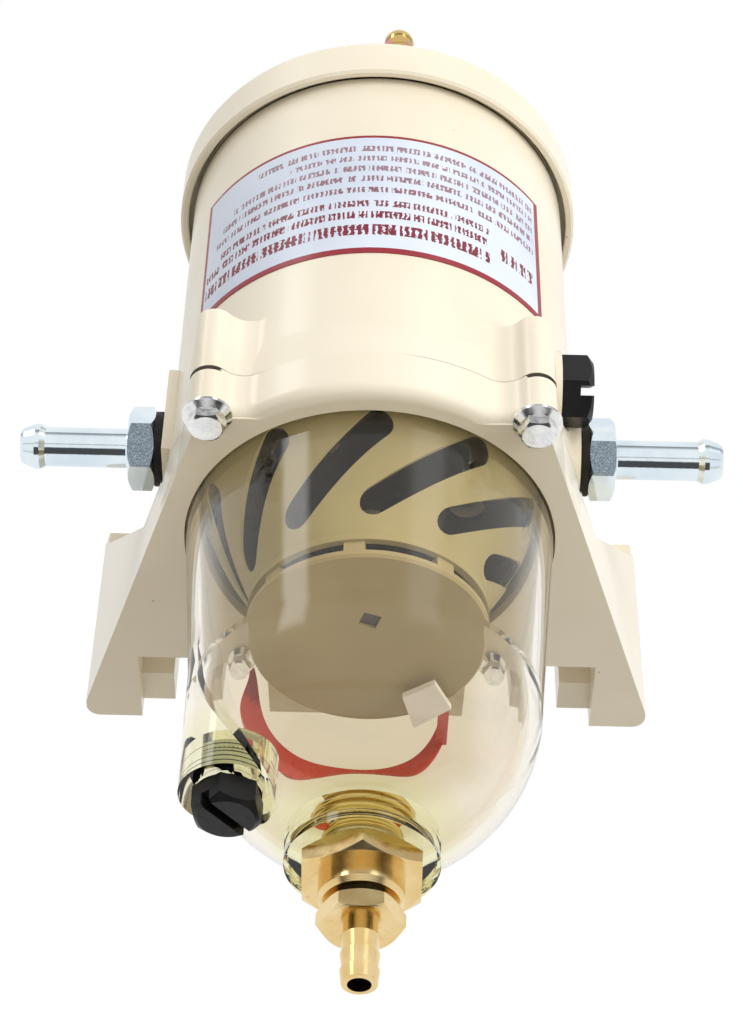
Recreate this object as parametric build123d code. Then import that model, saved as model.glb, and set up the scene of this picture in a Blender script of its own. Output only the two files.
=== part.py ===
from build123d import *
import os
from math import acos, atan2, cos, degrees, hypot, pi, radians, sin, sqrt

# Fuel water separator for a wall or bulkhead. All sizes are in millimetres.
# While it is modelled, the filter's own axis is the Z axis and z = 0 is the underside of the
# lower ring. At the end every piece moves to the wall frame, whose origin is the centre of the
# four mounting holes on the wall plane.

CLEAR = 0.05            # radial running clearance of a shaft in its hole
GAP = 0.3               # air between pieces that move past each other

# Body casting
BODY_R = 50.8
BODY_WALL = 4.0
BODY_SEAM_Z = 13.0      # flat joint between the body and the lower ring
BODY_TOP_Z = 124.0
BODY_FLARE = 0.7        # the body is this much wider at the seam than above it
BODY_FLARE_H = 11.0
FLOOR_T = 5.0
FLOOR_BOSS_R = 9.0
FLOOR_BOSS_DROP = 8.0
FLOOR_PORT_R = 4.5
FLOOR_PORT_RING_R = 24.0
FLOOR_RIB_H = 3.0       # radial ribs that carry the element and let fuel pass below it
FLOOR_RIB_W = 2.4
FLOOR_RIB_OUT_R = 38.0

# Hose fittings and their port bosses, on the X axis
PORT_Z = 31.8
PORT_FACE_X = BODY_R + 1.2
PORT_THREAD_R = 6.9
PORT_BLOCK_W = 23.8
PORT_BLOCK_TOP = 48.5
PORT_BLOCK_LOW = 20.0
PORT_BOSS_R = 12.5
WASHER_R = 9.5
WASHER_T = 2.5
FITTING_HEX_AF = 18.5
FITTING_HEX_T = 6.6
FITTING_TUBE_R = 5.0
FITTING_TUBE_L = 27.4
FITTING_BEAD_R = 5.75
FITTING_BEAD_L = 1.2
FITTING_BEAD_BACK = 4.8
FITTING_BORE_R = 3.6
INLET_HEX_TURN = 39.4
OUTLET_HEX_TURN = 34.9

# Slotted plastic plugs, one in the side port and one in the bowl's sensor port
PLUG_SLOT_W = 2.4
PLUG_SLOT_D = 3.4
PLUG_SEAL_T = 1.6
PLUG_SEAL_W = 1.2
SIDE_PLUG_AF = 16.0
SIDE_PLUG_HEAD_T = 8.0
SIDE_PLUG_THREAD_R = 6.5
SIDE_PLUG_THREAD_L = 5.0
SIDE_PLUG_Y = -22.3
SIDE_PLUG_Z = PORT_Z + 1.0
SIDE_PLUG_FACE_X = sqrt(BODY_R**2 - SIDE_PLUG_Y**2) + 0.4
SIDE_PLUG_BOSS_R = 10.0
SIDE_PLUG_SLOT_TURN = 135.0
SENSOR_AF = 14.3
SENSOR_HEAD_T = 6.75
SENSOR_THREAD_R = 6.4
SENSOR_THREAD_L = 9.0
SENSOR_HEX_TURN = 20.5
SENSOR_SLOT_TURN = 50.5

# Flanged bolts that hold the ring to the body
BOLT_PCR = BODY_R + 6.6     # radius of the bolts' circle
BOLT_ANGLE = 41.9       # from the front and from the back, towards each side
BOLT_R = 2.5
BOLT_AF = 8.0
BOLT_FLANGE_R = 5.85
BOLT_FLANGE_T = 1.2
BOLT_HEAD_T = 4.8
BOLT_GRIP = 14.0        # depth of the shank in the body
EAR_R = 4.8
EAR_PCR = BODY_R + 5.8
EAR_ANGLE = 42.85
EAR_BLEND_R = 7.0
EAR_EDGE = 0.6
EAR_STEP_R = BODY_R + 7.0   # outside this radius the ring's ears are lower
EAR_STEP_H = 1.2
PILASTER_H = 20.2       # height of the ears on the body

# Lower ring and wall bracket, one casting
RING_R = BODY_R + 1.0
RING_BORE_R = BODY_R - 5.5
RING_LIP_T = 3.5
RING_POCKET_R = BODY_R - 1.8
RING_EDGE_ROUND = 3.5
WALL_Y = 67.2           # filter axis to the wall
FOOT_HALF_W = 73.3
ARM_FRONT_X = 42.0      # the arm's outer side starts here, beside the front bolt
ARM_FRONT_Y = -36.7
ARM_BACK_Y = 61.8
ARM_TOP_Z = 14.2
LEG_X = 58.8
NOTCH_Y = 43.6
FOOT_X = 50.5
FOOT_T = 10.3
FOOT_LOW_Z = 6.0
FOOT_TOP_Z = 56.4
GUSSET_T = 4.5
GUSSET_FRONT_Y = 10.3
FOOT_CORNER_R = 5.0
PAD_HALF_W = 28.8
PAD_BACK_Y = 65.9
HOLE_X = 59.5
HOLE_LOW_Z = 23.0
HOLE_HIGH_Z = 45.0
HOLE_R = 4.5

# Clear bowl
BOWL_R = RING_BORE_R - 0.4
BOWL_TAPER = 0.08       # loss of radius for each millimetre down
BOWL_WALL = 3.2
BOWL_DOME_Z = -51.7
BOWL_FLANGE_R = RING_POCKET_R - GAP
BOWL_FLANGE_T = 5.6
DOME_R = BOWL_R + BOWL_TAPER * BOWL_DOME_Z
DRAIN_BOSS_R = 17.2
DRAIN_BOSS_OUT = 3.836  # the boss ends this far below the dome
DRAIN_BOSS_END_Z = BOWL_DOME_Z - DOME_R - DRAIN_BOSS_OUT
DRAIN_BOSS_RIB = 0.8
DRAIN_THREAD_R = 9.4
SENSOR_BOSS_R = 11.1
SENSOR_BOSS_UP = 13.7   # the sensor boss ends this far above the end of the drain boss
SENSOR_BOSS_H = 10.6    # its height inside the bowl, from that end
SENSOR_END_Z = DRAIN_BOSS_END_Z + SENSOR_BOSS_UP
SENSOR_AZIMUTH = 78.0   # from the front towards the left
SENSOR_IN = 10.3        # its axis lies this far inside the dome's radius
SENSOR_PCR = DOME_R - SENSOR_IN
SENSOR_POCKET_R = 9.6   # the head stands in this pocket, which cuts into the dome on its inner side

# Turbine: a bell with swirled slots, and a disc on posts below it
BELL_T = 1.6
BELL_RIM_R = 28.8
BELL_RIM_Z = -26.5
BELL_LIP_H = 2.3
BELL_WAIST_R = BELL_RIM_R - 1.8
BELL_WAIST_Z = -23.6
BELL_TOP_R = BOWL_R - BOWL_WALL - 0.7
SLOT_COUNT = 10
SLOT_W = 6.4
SLOT_PHASE = 20.0
SLOT_SWEEP = 18.0
SLOT_HIGH_R = 39.2
SLOT_HIGH_Z = 1.0
SLOT_LOW_R = 30.0
SLOT_LOW_Z = -15.2
SLOT_START_R = 23.0
DISC_R = BELL_RIM_R
DISC_T = 1.8
DISC_LOW_Z = -31.7
POST_COUNT = 8
POST_W = 4.8
POST_DEPTH = 2.6
POST_PHASE = -7.0
DISC_MARK = 4.4
DISC_MARK_Y = -8.0

# Check ball in its cage under the body's floor
BALL_R = 4.0
BALL_X = -22.0
BALL_TRAVEL = 5.0
CAGE_WALL = 1.6
CAGE_BASE_T = 1.8
CAGE_SEAT_R = 3.0
CAGE_SLOT_L = 13.0

# Return tube and filter element
TUBE_R = 6.0
TUBE_BORE_R = 4.0
TUBE_TOP_Z = BODY_TOP_Z - 3.0
ELEMENT_R = BODY_R - BODY_WALL - 3.8
ELEMENT_LOW_Z = BODY_SEAM_Z + FLOOR_T + FLOOR_RIB_H
ELEMENT_TOP_Z = BODY_TOP_Z - 6.5
CAP_T = 3.2
MEDIA_OUT_R = ELEMENT_R - 1.5
MEDIA_IN_R = 17.0
PLEAT_COUNT = 40
MEDIA_VALLEY_R = MEDIA_OUT_R - 10.5
GROMMET_R = 9.5
BAIL_R = 25.0
BAIL_WIRE_R = 1.1
BAIL_LUG_H = 4.2
BAIL_LUG_T = 2.0
BAIL_LUG_W = 5.2
BAIL_LUG_GAP = 0.6
BAIL_PIN_OUT = 2.0

# Lid and T handle
LID_OVER = 3.7
LID_R = BODY_R + LID_OVER
LID_SKIRT_T = 2.2
LID_LAP = 4.1           # the skirt hangs this far over the body
LID_LOW_Z = BODY_TOP_Z - LID_LAP
LID_GASKET_T = 1.5
LID_SHOULDER_RISE = 7.5
LID_SHOULDER_Z = BODY_TOP_Z + LID_SHOULDER_RISE
LID_SHOULDER_IN = 3.0
LID_SHOULDER_H = 2.6
LID_SHOULDER_ROUND = 3.2
LID_DOME_H = 17.0
LID_DOME_Z = BODY_TOP_Z + LID_DOME_H
LID_DOME_RISE = 1.3
LID_UNDER_RISE = 2.9
LID_UNDER_H = 3.5
LID_EDGE = 0.7
LID_T = 4.0
LID_BOSS_R = 12.0
LID_BOSS_FOOT = 1.5
LID_BOSS_H = 5.0
LID_BOSS_TOP_Z = LID_DOME_Z + LID_BOSS_H
STUD_R = 3.95
STUD_REACH = 33.0
STUD_LOW_Z = LID_DOME_Z - STUD_REACH
HANDLE_SEAL_T = 1.5
HANDLE_HUB_R = 7.0
HANDLE_HUB_T = 5.0
HANDLE_STEM_R = 4.6
HANDLE_BAR_H = 24.0
HANDLE_BAR_Z = LID_BOSS_TOP_Z + HANDLE_BAR_H
HANDLE_BAR_R = 3.3
HANDLE_HALF_L = 28.0
HANDLE_BALL_R = 4.2
HANDLE_TURN = 10.3

# Drain bushing and drain valve, on the axis
BUSHING_HEX_AF = 26.0
BUSHING_HEX_T = 5.2
BUSHING_COLLAR_R = 9.45
BUSHING_COLLAR_T = 4.8
BUSHING_THREAD_L = 9.0
VALVE_STEM_R = 3.5
VALVE_HEX_AF = 16.8
VALVE_HEX_T = 4.4
VALVE_NECK_L = 1.9
BARB_L = 14.2
BARB_R = 4.3
BARB_ROOT_R = 3.8
BARB_COUNT = 3
BARB_PITCH = 4.1
VALVE_BORE_R = 2.6

# Label and the red band that lies in the bowl
LABEL_T = 0.2
LABEL_LOW_Z = 50.0
LABEL_HIGH_Z = 96.6
LABEL_HALF_ANGLE = 57.3
LABEL_CENTRE = -2.3
BAND_T = 0.8
BAND_GAP = 0.3          # air between the strip and the bowl's wall
BAND_ARM_Z = -35.2      # the strip's free end runs forwards at this height
BAND_ARM_X = 19.1
BAND_ARM_W = 2.7
BAND_ARM_FRONT_Y = 18.5
BAND_ARM_GAP = 0.0721   # air between the arm's rear corner and the wall
BAND_ARM_WALL_R = BOWL_R + BOWL_TAPER * BAND_ARM_Z - BOWL_WALL
BAND_ARM_BACK_Y = sqrt(BAND_ARM_WALL_R**2 - (BAND_ARM_X + BAND_ARM_W / 2)**2) - BAND_ARM_GAP
CLIP_T = 1.6
CLIP_CORNERS = [(8.8, 14.7), (16.4, 9.4), (20.9, 18.5), (11.9, 26.1)]

# The strip's edges where it lies against the rear of the bowl, seen from the front
BAND_UPPER = [(-29.3, -16.9), (-27.9, -22.1), (-26.6, -29.0), (-23.6, -35.6), (-17.8, -39.6), (-7.4, -40.6),
              (6.2, -40.0), (12.2, -37.8), (16.8, -32.3), (18.9, -25.2)]
BAND_LOWER = [(21.1, -25.6), (20.6, -31.0), (18.4, -37.8), (13.1, -43.2), (6.6, -42.3), (-4.6, -41.8),
              (-13.8, -45.9), (-18.9, -47.6), (-25.0, -42.8), (-30.5, -38.4), (-31.4, -32.0), (-30.3, -19.8)]


def turned(points):
    """A solid of revolution about Z from (radius, z) points."""
    outline = Plane.XZ * make_face(Polyline(*points, close=True))
    return revolve(outline, Axis.Z, 360)


def tube(r_out, r_in, low, high):
    """A plain ring with a level top and bottom."""
    return turned([(r_in, low), (r_out, low), (r_out, high), (r_in, high)])


def rod(radius, low, high, x=0.0, y=0.0):
    """A plain round bar, parallel to Z."""
    return Pos(x, y, (low + high) / 2) * Cylinder(radius, high - low)


def block(x0, x1, y0, y1, z0, z1):
    """A box between two corners."""
    return Pos((x0 + x1) / 2, (y0 + y1) / 2, (z0 + z1) / 2) * Box(x1 - x0, y1 - y0, z1 - z0)


def hexagon(af, low, high, turn=0.0, chamfer_ends=True):
    """A hexagon bar along Z with its corners turned down at both ends."""
    corner = af / sqrt(3)
    bar = extrude(Pos(0, 0, low) * Rot(0, 0, turn) * RegularPolygon(corner, 6), high - low)
    if not chamfer_ends:
        return bar
    drop = (corner - af / 2) * 0.6
    cone = turned([(0, low), (af / 2, low), (corner, low + drop), (corner, high - drop),
                   (af / 2, high), (0, high)])
    return bar & cone


def polar(radius, angle_from_front, side=1, end=-1):
    """A point at an angle from the front (end -1) or the back (end 1)."""
    a = radians(angle_from_front)
    return side * radius * sin(a), end * radius * cos(a)


def both(shape):
    """The shape and its mirror image on the other side of the filter."""
    return shape + mirror(shape, Plane.YZ)


def bowed(start, end, rise):
    """An arc between two points whose middle stands above their chord."""
    middle = ((start[0] + end[0]) / 2, (start[1] + end[1]) / 2 + rise)
    return ThreePointArc(start, middle, end)


CORNERS = [(side, end) for side in (-1, 1) for end in (-1, 1)]
BODY_BORE_R = BODY_R - BODY_WALL
FLOOR_TOP_Z = BODY_SEAM_Z + FLOOR_T
BOWL_FLANGE_LOW_Z = RING_LIP_T
BOWL_FLANGE_TOP_Z = BOWL_FLANGE_LOW_Z + BOWL_FLANGE_T
LID_UNDER_Z = BODY_TOP_Z + LID_GASKET_T
BALL_SEAT_H = sqrt(BALL_R**2 - CAGE_SEAT_R**2)
CAGE_BASE_Z = BODY_SEAM_Z - BALL_TRAVEL - 2 * BALL_SEAT_H - 2 * CLEAR
VALVE_COLLAR_Z = DRAIN_BOSS_END_Z - BUSHING_HEX_T - BUSHING_COLLAR_T
VALVE_HEX_Z = VALVE_COLLAR_Z - VALVE_NECK_L - VALVE_HEX_T
VALVE_END_Z = VALVE_HEX_Z - BARB_L


def ear(disc_r, offset, low, high, side, end):
    """One bolt ear with the two hollow blends that join it to a disc of this radius."""
    far = disc_r + EAR_BLEND_R
    near = EAR_R + EAR_BLEND_R
    spread = degrees(acos((far**2 + EAR_PCR**2 - near**2) / (2 * far * EAR_PCR)))
    tip = polar(EAR_PCR, EAR_ANGLE, side, end)
    first = polar(far, EAR_ANGLE - spread, side, end)
    second = polar(far, EAR_ANGLE + spread, side, end)
    neck = plan([(0, 0), first, tip, second], low, high)
    for x, y in (first, second):
        neck -= rod(EAR_BLEND_R - offset, low - 1, high + 1, x, y)
    return neck + rod(EAR_R + offset, low, high, *tip)


def eared_disc(offset, low, high):
    """The plan outline that the ring shares with the body's foot, with some air round it."""
    disc = rod(RING_R + offset, low, high)
    for side, end in CORNERS:
        disc += ear(RING_R, offset, low, high, side, end)
    return disc


def x_port(shape):
    """Turns a piece modelled along +Z so that it leaves along +X at the port height."""
    return Pos(0, 0, PORT_Z) * Rot(0, 90, 0) * shape


def body_casting():
    seam_r = BODY_R + BODY_FLARE
    outer = turned([(0, BODY_SEAM_Z), (seam_r, BODY_SEAM_Z), (BODY_R, BODY_SEAM_Z + BODY_FLARE_H),
                    (BODY_R, BODY_TOP_Z), (0, BODY_TOP_Z)])
    for side, end in CORNERS:
        outer += ear(BODY_R, 0, BODY_SEAM_Z, BODY_SEAM_Z + PILASTER_H, side, end)
    half_w = PORT_BLOCK_W / 2
    outer += block(-PORT_FACE_X, -BODY_BORE_R, -half_w, half_w, PORT_BLOCK_LOW, PORT_BLOCK_TOP)
    outer += x_port(rod(PORT_BOSS_R, BODY_BORE_R, PORT_FACE_X))
    outer += side_port(rod(SIDE_PLUG_BOSS_R, -2 * BODY_WALL, 0))
    outer -= side_port(rod(SIDE_PLUG_BOSS_R, 0, 2 * BODY_WALL))
    outer -= rod(BODY_BORE_R, FLOOR_TOP_Z, BODY_TOP_Z + 1)
    outer += side_port(rod(SIDE_PLUG_BOSS_R, -3 * BODY_WALL, 0)) - rod(ELEMENT_R + 2 * GAP, 0, BODY_TOP_Z)
    for i in range(6):
        rib = block(FLOOR_BOSS_R, FLOOR_RIB_OUT_R, -FLOOR_RIB_W / 2, FLOOR_RIB_W / 2, FLOOR_TOP_Z, ELEMENT_LOW_Z)
        outer += Rot(0, 0, 60 * i + 30) * rib
    outer += rod(FLOOR_BOSS_R, BODY_SEAM_Z - FLOOR_BOSS_DROP, FLOOR_TOP_Z)
    outer -= rod(TUBE_R + CLEAR, BODY_SEAM_Z - FLOOR_BOSS_DROP - 1, FLOOR_TOP_Z + 1)
    for i in range(6):
        x, y = polar(FLOOR_PORT_RING_R, 60 * i + 30)
        outer -= rod(FLOOR_PORT_R, BODY_SEAM_Z - 1, FLOOR_TOP_Z + 1, x, y)
    slot = Rot(0, 0, 90) * SlotOverall(CAGE_SLOT_L, 2 * CAGE_SEAT_R)
    outer -= extrude(Pos(BALL_X, 0, BODY_SEAM_Z - 1) * slot, FLOOR_T + 2)
    for side, end in CORNERS:
        x, y = polar(BOLT_PCR, BOLT_ANGLE, side, end)
        outer -= rod(BOLT_R + CLEAR, BODY_SEAM_Z - 1, BODY_SEAM_Z + BOLT_GRIP + 1, x, y)
    outer -= both(x_port(rod(PORT_THREAD_R + CLEAR, BODY_BORE_R - 2 * BODY_WALL, PORT_FACE_X + 1)))
    outer -= side_port(rod(SIDE_PLUG_THREAD_R + CLEAR, -3 * BODY_WALL, 1))
    outer -= side_port(rod(SIDE_PLUG_THREAD_R + PLUG_SEAL_W, -PLUG_SEAL_T, 1))
    return outer


def side_port(shape):
    """Turns a piece modelled along +Z so that it leaves the face of the side plug's boss along +X."""
    return Pos(SIDE_PLUG_FACE_X, SIDE_PLUG_Y, SIDE_PLUG_Z) * Rot(0, 90, 0) * shape


def arm_x(y, inset=0.0):
    """The x of an arm's outer side at a given y, or of a line parallel to it."""
    slope = (FOOT_HALF_W - ARM_FRONT_X) / (ARM_BACK_Y - ARM_FRONT_Y)
    return ARM_FRONT_X + slope * (y - ARM_FRONT_Y) - inset * sqrt(1 + slope * slope)


def plan(points, low, high):
    """An upright solid from a plan outline."""
    return extrude(Pos(0, 0, low) * make_face(Polyline(*points, close=True)), high - low)


def one_arm():
    front_y = -NOTCH_Y + 2
    sole = plan([(0, front_y), (arm_x(front_y), front_y), (FOOT_HALF_W, ARM_BACK_Y), (FOOT_HALF_W, WALL_Y),
                 (LEG_X, WALL_Y), (LEG_X, NOTCH_Y), (0, NOTCH_Y)], 0, ARM_TOP_Z)
    flange_y = WALL_Y - FOOT_T
    flange = plan([(FOOT_X, flange_y), (arm_x(flange_y), flange_y), (FOOT_HALF_W, ARM_BACK_Y),
                   (FOOT_HALF_W, WALL_Y), (FOOT_X, WALL_Y)], FOOT_LOW_Z, FOOT_TOP_Z)
    strip = plan([(arm_x(GUSSET_FRONT_Y), GUSSET_FRONT_Y), (arm_x(flange_y + 1), flange_y + 1),
                  (arm_x(flange_y + 1, GUSSET_T), flange_y + 1),
                  (arm_x(GUSSET_FRONT_Y, GUSSET_T), GUSSET_FRONT_Y)], 0, FOOT_TOP_Z)
    side = make_face(Polyline((GUSSET_FRONT_Y, ARM_TOP_Z), (ARM_BACK_Y, FOOT_TOP_Z), (ARM_BACK_Y, 0),
                              (GUSSET_FRONT_Y, 0), close=True))
    gusset = strip & extrude(Plane.YZ * side, FOOT_HALF_W + 5)
    return sole + flange + gusset


def ring_bracket():
    casting = eared_disc(0, 0, BODY_SEAM_Z)
    casting = fillet(casting.edges().group_by(Axis.Z)[0], RING_EDGE_ROUND)
    foot = turned([(0, 0), (EAR_R - EAR_EDGE, 0), (EAR_R, EAR_EDGE), (EAR_R, BODY_SEAM_Z), (0, BODY_SEAM_Z)])
    for side, end in CORNERS:
        casting += Pos(*polar(EAR_PCR, EAR_ANGLE, side, end)) * foot
    step_z = BODY_SEAM_Z - EAR_STEP_H
    casting -= tube(2 * EAR_STEP_R, EAR_STEP_R, step_z, BODY_SEAM_Z + 1)
    casting += both(one_arm() - eared_disc(GAP, BODY_SEAM_Z, ARM_TOP_Z + 1))
    pad = block(-PAD_HALF_W, PAD_HALF_W, 0, PAD_BACK_Y, 0, ARM_TOP_Z)
    casting += pad - eared_disc(GAP, BODY_SEAM_Z, ARM_TOP_Z + 1)
    casting -= rod(RING_BORE_R, -1, ARM_TOP_Z + 1)
    casting -= rod(RING_POCKET_R, RING_LIP_T, ARM_TOP_Z + 1)
    for side, end in CORNERS:
        x, y = polar(BOLT_PCR, BOLT_ANGLE, side, end)
        casting -= rod(BOLT_R + 4 * CLEAR, -1, ARM_TOP_Z + 1, x, y)
    for side in (-1, 1):
        for z in (HOLE_LOW_Z, HOLE_HIGH_Z):
            casting -= Pos(side * HOLE_X, WALL_Y, z) * Rot(90, 0, 0) * Cylinder(HOLE_R, 4 * FOOT_T)
    corners = casting.edges().filter_by(Axis.Z).filter_by_position(Axis.Y, WALL_Y - 0.1, WALL_Y + 0.1)
    outer = corners.filter_by(lambda e: abs(e.center().X) > FOOT_HALF_W - 0.1)
    return fillet(outer, FOOT_CORNER_R * 0.7)


def flange_bolt():
    """A hexagon flange bolt, head down, its flange seated at z = 0."""
    shank = rod(BOLT_R, 0, BODY_SEAM_Z + BOLT_GRIP)
    flange = turned([(0, 0), (BOLT_FLANGE_R, 0), (BOLT_FLANGE_R, -BOLT_FLANGE_T * 0.6),
                     (BOLT_AF * 0.55, -1.7 * BOLT_FLANGE_T), (0, -1.7 * BOLT_FLANGE_T)])
    head = hexagon(BOLT_AF, -BOLT_HEAD_T, -BOLT_FLANGE_T, 0, False)
    chamfer_h = BOLT_AF * 0.08
    crown = turned([(0, 0), (BOLT_AF * 0.6, 0), (BOLT_AF * 0.6, -BOLT_HEAD_T + chamfer_h),
                    (BOLT_AF * 0.46, -BOLT_HEAD_T), (0, -BOLT_HEAD_T)])
    return shank + flange + (head & crown)


def flange_bolts():
    places = []
    for side, end in CORNERS:
        x, y = polar(BOLT_PCR, BOLT_ANGLE, side, end)
        places.append(Pos(x, y, 0) * flange_bolt())
    return Compound(children=places)


def bowl_solid(shrink, top):
    """The bowl's outside as a solid, or its inside when shrunk."""
    dome_r = DOME_R - shrink
    centre_z = BOWL_DOME_Z
    wall = Polyline((0, top), (BOWL_R - shrink + BOWL_TAPER * top, top), (dome_r, centre_z))
    bottom = ThreePointArc((dome_r, centre_z), (dome_r * cos(pi / 4), centre_z - dome_r * sin(pi / 4)),
                           (0, centre_z - dome_r))
    axis = Line((0, centre_z - dome_r), (0, top))
    return revolve(Plane.XZ * make_face([wall, bottom, axis]), Axis.Z, 360)


def sensor_port(shape):
    """Turns a piece modelled along +Z so that it leaves the end of the sensor boss downwards."""
    x, y = polar(SENSOR_PCR, SENSOR_AZIMUTH, -1)
    return Pos(x, y, SENSOR_END_Z) * Rot(180, 0, 0) * shape


def clear_bowl():
    outside = bowl_solid(0, BOWL_FLANGE_TOP_Z)
    bowl = outside + rod(BOWL_FLANGE_R, BOWL_FLANGE_LOW_Z, BOWL_FLANGE_TOP_Z)
    boss_top = BOWL_DOME_Z - DOME_R * 0.85
    rib = DRAIN_BOSS_RIB
    ribs = [(0, boss_top), (DRAIN_BOSS_R, boss_top)]
    step = 1.7
    count = int((boss_top - DRAIN_BOSS_END_Z - 2.5) / step)
    for i in range(count):
        z = DRAIN_BOSS_END_Z + 2.5 + step * (count - i)
        ribs += [(DRAIN_BOSS_R, z), (DRAIN_BOSS_R - rib, z - step / 2)]
    ribs += [(DRAIN_BOSS_R, DRAIN_BOSS_END_Z + 2.5), (DRAIN_BOSS_R, DRAIN_BOSS_END_Z), (0, DRAIN_BOSS_END_Z)]
    bowl += turned(ribs)
    bowl += sensor_port(rod(SENSOR_BOSS_R, SENSOR_END_Z - BOWL_DOME_Z - SENSOR_BOSS_R, 0))
    bowl -= bowl_solid(BOWL_WALL, BOWL_FLANGE_TOP_Z + 1)
    bowl += outside & sensor_port(rod(SENSOR_BOSS_R, -SENSOR_BOSS_H, SENSOR_BOSS_R))
    bowl -= rod(DRAIN_THREAD_R + CLEAR, DRAIN_BOSS_END_Z - 1, BOWL_DOME_Z)
    bowl -= sensor_port(rod(SENSOR_THREAD_R + CLEAR, -SENSOR_BOSS_H - 1, 1))
    bowl -= sensor_port(rod(SENSOR_THREAD_R + PLUG_SEAL_W, -PLUG_SEAL_T, 1))
    bowl -= sensor_port(rod(SENSOR_POCKET_R, 0, 2 * SENSOR_HEAD_T))
    return bowl


BELL_POINTS = [(BELL_TOP_R, 6.0), (BELL_TOP_R - 2.2, 0.0), (BELL_TOP_R - 7.8, -10.0),
               (BELL_RIM_R - 0.2, -18.0), (BELL_WAIST_R, BELL_WAIST_Z)]


def turbine_bell():
    top_z = BODY_SEAM_Z
    inside = [(r - BELL_T, z) for r, z in BELL_POINTS]
    outer_curve = Spline(*BELL_POINTS)
    inner_curve = Spline(*inside)
    lip = Polyline(BELL_POINTS[-1], (BELL_RIM_R - 0.2, BELL_RIM_Z + BELL_LIP_H), (BELL_RIM_R, BELL_RIM_Z),
                   (BELL_RIM_R - BELL_T, BELL_RIM_Z), inside[-1])
    neck = Polyline(inside[0], (BELL_TOP_R - BELL_T, top_z - BELL_T), (0, top_z - BELL_T), (0, top_z),
                    (BELL_TOP_R, top_z), BELL_POINTS[0])
    bell = revolve(Plane.XZ * make_face([outer_curve, lip, inner_curve, neck]), Axis.Z, 360)
    high = (SLOT_HIGH_R * sin(radians(SLOT_SWEEP)), SLOT_HIGH_Z)
    low = (-SLOT_LOW_R * sin(radians(SLOT_SWEEP)), SLOT_LOW_Z)
    run = hypot(high[0] - low[0], high[1] - low[1])
    lean = degrees(atan2(high[1] - low[1], high[0] - low[0]))
    middle = ((high[0] + low[0]) / 2, (high[1] + low[1]) / 2)
    outline = Pos(*middle) * Rot(0, 0, lean) * SlotCenterToCenter(run, SLOT_W)
    cutter = extrude(Plane.XZ.offset(SLOT_START_R) * outline, BELL_TOP_R)
    for i in range(SLOT_COUNT):
        bell -= Rot(0, 0, SLOT_PHASE + i * 360 / SLOT_COUNT) * cutter
    bell -= rod(FLOOR_BOSS_R + GAP, 0, top_z + 1)
    for i in range(6):
        x, y = polar(FLOOR_PORT_RING_R, 60 * i + 30)
        bell -= rod(FLOOR_PORT_R, top_z - BELL_T - 1, top_z + 1, x, y)
    bell += rod(BALL_R + GAP + CAGE_WALL, CAGE_BASE_Z - CAGE_BASE_T, top_z, BALL_X)
    bell -= rod(CAGE_SEAT_R, CAGE_BASE_Z - CAGE_BASE_T - 1, top_z + 1, BALL_X)
    bell -= rod(BALL_R + GAP, CAGE_BASE_Z, top_z + 1, BALL_X)
    return bell


def check_ball():
    return Pos(BALL_X, 0, CAGE_BASE_Z + BALL_SEAT_H + CLEAR) * Sphere(BALL_R)


def turbine_disc():
    top = DISC_LOW_Z + DISC_T
    disc = turned([(0, DISC_LOW_Z), (DISC_R - 0.6, DISC_LOW_Z), (DISC_R, DISC_LOW_Z + 0.6), (DISC_R, top),
                   (0, top)])
    disc -= Pos(0.5, DISC_MARK_Y, DISC_LOW_Z) * Rot(0, 0, 20) * Box(DISC_MARK, DISC_MARK, 1.6)
    post_r = BELL_RIM_R - POST_DEPTH
    for i in range(POST_COUNT):
        turn = Rot(0, 0, POST_PHASE + i * 360 / POST_COUNT)
        post = block(-POST_W / 2, POST_W / 2, -BELL_RIM_R + 0.8, -post_r + 0.8, top, BELL_RIM_Z)
        disc += turn * post
    return disc


def return_tube():
    low = BODY_SEAM_Z - FLOOR_BOSS_DROP
    return tube(TUBE_R, TUBE_BORE_R, low, TUBE_TOP_Z)


def element_cap(low, high):
    cap = tube(ELEMENT_R, GROMMET_R, low, high)
    return cap


def element_top_cap():
    cap = element_cap(ELEMENT_TOP_Z - CAP_T, ELEMENT_TOP_Z)
    for side in (-1, 1):
        inner = BAIL_R + BAIL_WIRE_R + BAIL_LUG_GAP
        x0, x1 = sorted((side * inner, side * (inner + BAIL_LUG_T)))
        half_w = BAIL_LUG_W / 2
        cap += block(x0, x1, -half_w, half_w, ELEMENT_TOP_Z, ELEMENT_TOP_Z + BAIL_LUG_H)
        middle = side * (inner + BAIL_LUG_T / 2)
        cap -= Pos(middle, 0, bail_z()) * Rot(0, 90, 0) * Cylinder(BAIL_WIRE_R + CLEAR, 2 * BAIL_LUG_T)
    return cap


def bail_z():
    """Height of the bail's hinge line over the top cap."""
    return ELEMENT_TOP_Z + BAIL_WIRE_R + GAP + 0.3


def bail_handle():
    reach = 2 * BAIL_R
    front = Torus(BAIL_R, BAIL_WIRE_R) & block(-reach, reach, -reach, 0, -reach, reach)
    for side in (-1, 1):
        length = BAIL_LUG_T + BAIL_PIN_OUT
        pin = Pos(side * (BAIL_R + length / 2), 0, 0) * Rot(0, 90, 0) * Cylinder(BAIL_WIRE_R, length)
        front += pin + Pos(side * BAIL_R, 0, 0) * Sphere(BAIL_WIRE_R)
    return Pos(0, 0, bail_z()) * front


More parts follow.
